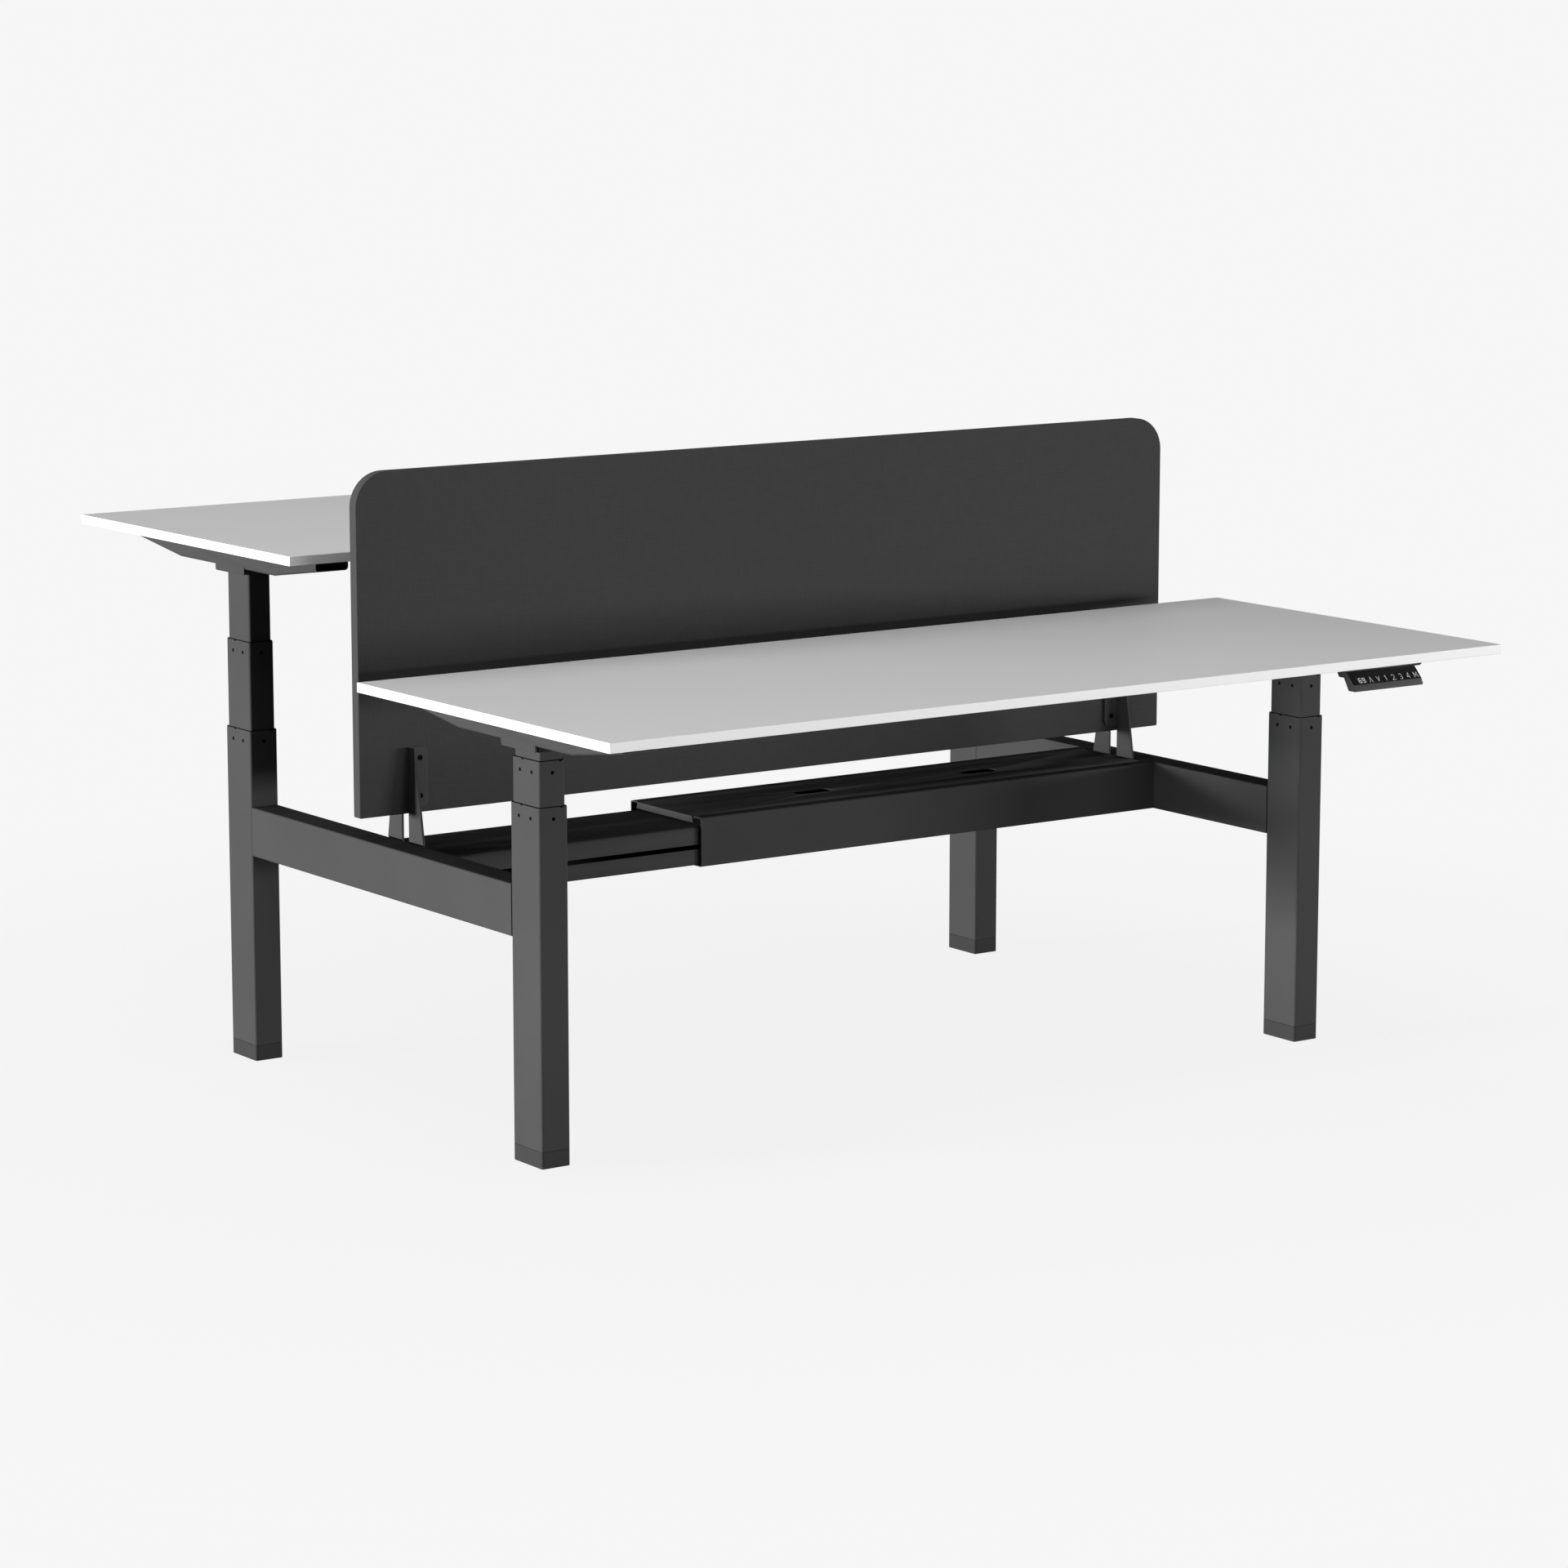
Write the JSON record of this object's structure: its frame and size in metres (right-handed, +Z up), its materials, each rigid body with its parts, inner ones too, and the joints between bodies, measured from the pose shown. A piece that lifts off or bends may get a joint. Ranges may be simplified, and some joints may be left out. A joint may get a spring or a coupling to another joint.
{
  "type": "benching desk for two",
  "caption": "Face-to-face sit-stand bench: grey desktops on telescopic columns, a shared open steel frame with a cable tray and a dark screen between the desks.",
  "frame": {"origin": "on the floor under the middle of the bench", "axes": "+X along the desks, +Y towards the far desk, +Z up"},
  "size_m": [1.7, 1.643, 0.999],
  "materials": {
    "coated_steel": "fine matt powder coat, near black",
    "desktop_board": "light grey melamine face with a white edge band",
    "foot_plastic": "moulded, fine grain",
    "screen_fabric": "charcoal cloth over a rigid core",
    "motor_metal": "die cast",
    "screw_steel": "rolled thread, greased",
    "handset_plastic": "moulded, satin black",
    "key_plastic": "satin black with a pale printed legend",
    "box_plastic": "moulded, fine grain"
  },
  "bodies": {
    "frame": {"outer_tube_near_left": "coated_steel", "foot_cap_near_left": "foot_plastic", "screen_bracket_near_left": "coated_steel", "outer_tube_near_right": "coated_steel", "foot_cap_near_right": "foot_plastic", "screen_bracket_near_right": "coated_steel", "outer_tube_far_left": "coated_steel", "foot_cap_far_left": "foot_plastic", "screen_bracket_far_left": "coated_steel", "outer_tube_far_right": "coated_steel", "foot_cap_far_right": "foot_plastic", "screen_bracket_far_right": "coated_steel", "end_beam_left": "coated_steel", "end_beam_right": "coated_steel", "beam_sleeve": "coated_steel", "beam_inner": "coated_steel", "screen_panel": "screen_fabric"},
    "tray_lid": {"tray_lid": "coated_steel"},
    "near_desk": {"desktop_near": "desktop_board", "arm_near_left": "coated_steel", "arm_near_right": "coated_steel", "gear_motor_near_left": "motor_metal", "gear_motor_near_right": "motor_metal", "inner_tube_near_left": "coated_steel", "inner_tube_near_right": "coated_steel", "crossbar_near": "coated_steel", "control_box_near": "box_plastic", "handset_near": "handset_plastic"},
    "far_desk": {"desktop_far": "desktop_board", "arm_far_left": "coated_steel", "arm_far_right": "coated_steel", "gear_motor_far_left": "motor_metal", "gear_motor_far_right": "motor_metal", "inner_tube_far_left": "coated_steel", "inner_tube_far_right": "coated_steel", "crossbar_far": "coated_steel", "control_box_far": "box_plastic", "handset_far": "handset_plastic"},
    "near_left_stage": {"mid_tube_near_left": "coated_steel"},
    "near_right_stage": {"mid_tube_near_right": "coated_steel"},
    "far_left_stage": {"mid_tube_far_left": "coated_steel"},
    "far_right_stage": {"mid_tube_far_right": "coated_steel"},
    "near_left_screw": {"lead_screw_near_left": "screw_steel"},
    "near_right_screw": {"lead_screw_near_right": "screw_steel"},
    "far_left_screw": {"lead_screw_far_left": "screw_steel"},
    "far_right_screw": {"lead_screw_far_right": "screw_steel"},
    "near_key_up": {"key_up_near": "key_plastic"},
    "near_key_down": {"key_down_near": "key_plastic"},
    "near_key_1": {"key_1_near": "key_plastic"},
    "near_key_2": {"key_2_near": "key_plastic"},
    "near_key_3": {"key_3_near": "key_plastic"},
    "near_key_4": {"key_4_near": "key_plastic"},
    "near_key_memory": {"key_memory_near": "key_plastic"},
    "far_key_up": {"key_up_far": "key_plastic"},
    "far_key_down": {"key_down_far": "key_plastic"},
    "far_key_1": {"key_1_far": "key_plastic"},
    "far_key_2": {"key_2_far": "key_plastic"},
    "far_key_3": {"key_3_far": "key_plastic"},
    "far_key_4": {"key_4_far": "key_plastic"},
    "far_key_memory": {"key_memory_far": "key_plastic"}
  },
  "joints": [
    {"name": "near_lift", "type": "slide", "parent": "frame", "child": "near_desk", "axis": [0, 0, 1], "range_m": [-0.02, 0.58]},
    {"name": "far_lift", "type": "slide", "parent": "frame", "child": "far_desk", "axis": [0, 0, 1], "range_m": [-0.191, 0.409]},
    {"name": "near_left_stage_slide", "type": "slide", "parent": "frame", "child": "near_left_stage", "axis": [0, 0, 1], "range_m": [-0.0088, 0.2552]},
    {"name": "near_right_stage_slide", "type": "slide", "parent": "frame", "child": "near_right_stage", "axis": [0, 0, 1], "range_m": [-0.0088, 0.2552]},
    {"name": "far_left_stage_slide", "type": "slide", "parent": "frame", "child": "far_left_stage", "axis": [0, 0, 1], "range_m": [-0.08404, 0.17996]},
    {"name": "far_right_stage_slide", "type": "slide", "parent": "frame", "child": "far_right_stage", "axis": [0, 0, 1], "range_m": [-0.08404, 0.17996]},
    {"name": "near_left_screw_turn", "type": "hinge", "parent": "near_desk", "child": "near_left_screw", "pos_m": [-0.7375, -0.435, 0.4], "axis": [0, 0, 1], "range_deg": [-505, 14617]},
    {"name": "near_right_screw_turn", "type": "hinge", "parent": "near_desk", "child": "near_right_screw", "pos_m": [0.7375, -0.435, 0.4], "axis": [0, 0, 1], "range_deg": [-505, 14617]},
    {"name": "far_left_screw_turn", "type": "hinge", "parent": "far_desk", "child": "far_left_screw", "pos_m": [-0.7375, 0.435, 0.4], "axis": [0, 0, 1], "range_deg": [-4814.2, 10307.8]},
    {"name": "far_right_screw_turn", "type": "hinge", "parent": "far_desk", "child": "far_right_screw", "pos_m": [0.7375, 0.435, 0.4], "axis": [0, 0, 1], "range_deg": [-4814.2, 10307.8]},
    {"name": "lid_slide", "type": "slide", "parent": "frame", "child": "tray_lid", "axis": [-1, 0, 0], "range_m": [0, 0.45]},
    {"name": "near_key_up_press", "type": "slide", "parent": "near_desk", "child": "near_key_up", "axis": [0, 0.726, -0.6877], "range_m": [0, 0.001], "stiffness_N_per_m": 600},
    {"name": "near_key_down_press", "type": "slide", "parent": "near_desk", "child": "near_key_down", "axis": [0, 0.726, -0.6877], "range_m": [0, 0.001], "stiffness_N_per_m": 600},
    {"name": "near_key_1_press", "type": "slide", "parent": "near_desk", "child": "near_key_1", "axis": [0, 0.726, -0.6877], "range_m": [0, 0.001], "stiffness_N_per_m": 600},
    {"name": "near_key_2_press", "type": "slide", "parent": "near_desk", "child": "near_key_2", "axis": [0, 0.726, -0.6877], "range_m": [0, 0.001], "stiffness_N_per_m": 600},
    {"name": "near_key_3_press", "type": "slide", "parent": "near_desk", "child": "near_key_3", "axis": [0, 0.726, -0.6877], "range_m": [0, 0.001], "stiffness_N_per_m": 600},
    {"name": "near_key_4_press", "type": "slide", "parent": "near_desk", "child": "near_key_4", "axis": [0, 0.726, -0.6877], "range_m": [0, 0.001], "stiffness_N_per_m": 600},
    {"name": "near_key_memory_press", "type": "slide", "parent": "near_desk", "child": "near_key_memory", "axis": [0, 0.726, -0.6877], "range_m": [0, 0.001], "stiffness_N_per_m": 600},
    {"name": "far_key_up_press", "type": "slide", "parent": "far_desk", "child": "far_key_up", "axis": [0, -0.726, -0.6877], "range_m": [0, 0.001], "stiffness_N_per_m": 600},
    {"name": "far_key_down_press", "type": "slide", "parent": "far_desk", "child": "far_key_down", "axis": [0, -0.726, -0.6877], "range_m": [0, 0.001], "stiffness_N_per_m": 600},
    {"name": "far_key_1_press", "type": "slide", "parent": "far_desk", "child": "far_key_1", "axis": [0, -0.726, -0.6877], "range_m": [0, 0.001], "stiffness_N_per_m": 600},
    {"name": "far_key_2_press", "type": "slide", "parent": "far_desk", "child": "far_key_2", "axis": [0, -0.726, -0.6877], "range_m": [0, 0.001], "stiffness_N_per_m": 600},
    {"name": "far_key_3_press", "type": "slide", "parent": "far_desk", "child": "far_key_3", "axis": [0, -0.726, -0.6877], "range_m": [0, 0.001], "stiffness_N_per_m": 600},
    {"name": "far_key_4_press", "type": "slide", "parent": "far_desk", "child": "far_key_4", "axis": [0, -0.726, -0.6877], "range_m": [0, 0.001], "stiffness_N_per_m": 600},
    {"name": "far_key_memory_press", "type": "slide", "parent": "far_desk", "child": "far_key_memory", "axis": [0, -0.726, -0.6877], "range_m": [0, 0.001], "stiffness_N_per_m": 600}
  ],
  "couplings": [
    {"joint": "near_left_stage_slide", "follows": "near_lift", "ratio": 0.44},
    {"joint": "near_right_stage_slide", "follows": "near_lift", "ratio": 0.44},
    {"joint": "far_left_stage_slide", "follows": "far_lift", "ratio": 0.44},
    {"joint": "far_right_stage_slide", "follows": "far_lift", "ratio": 0.44},
    {"joint": "near_left_screw_turn", "follows": "near_lift", "rad_per_m": 439.82},
    {"joint": "near_right_screw_turn", "follows": "near_lift", "rad_per_m": 439.82},
    {"joint": "far_left_screw_turn", "follows": "far_lift", "rad_per_m": 439.82},
    {"joint": "far_right_screw_turn", "follows": "far_lift", "rad_per_m": 439.82}
  ]
}
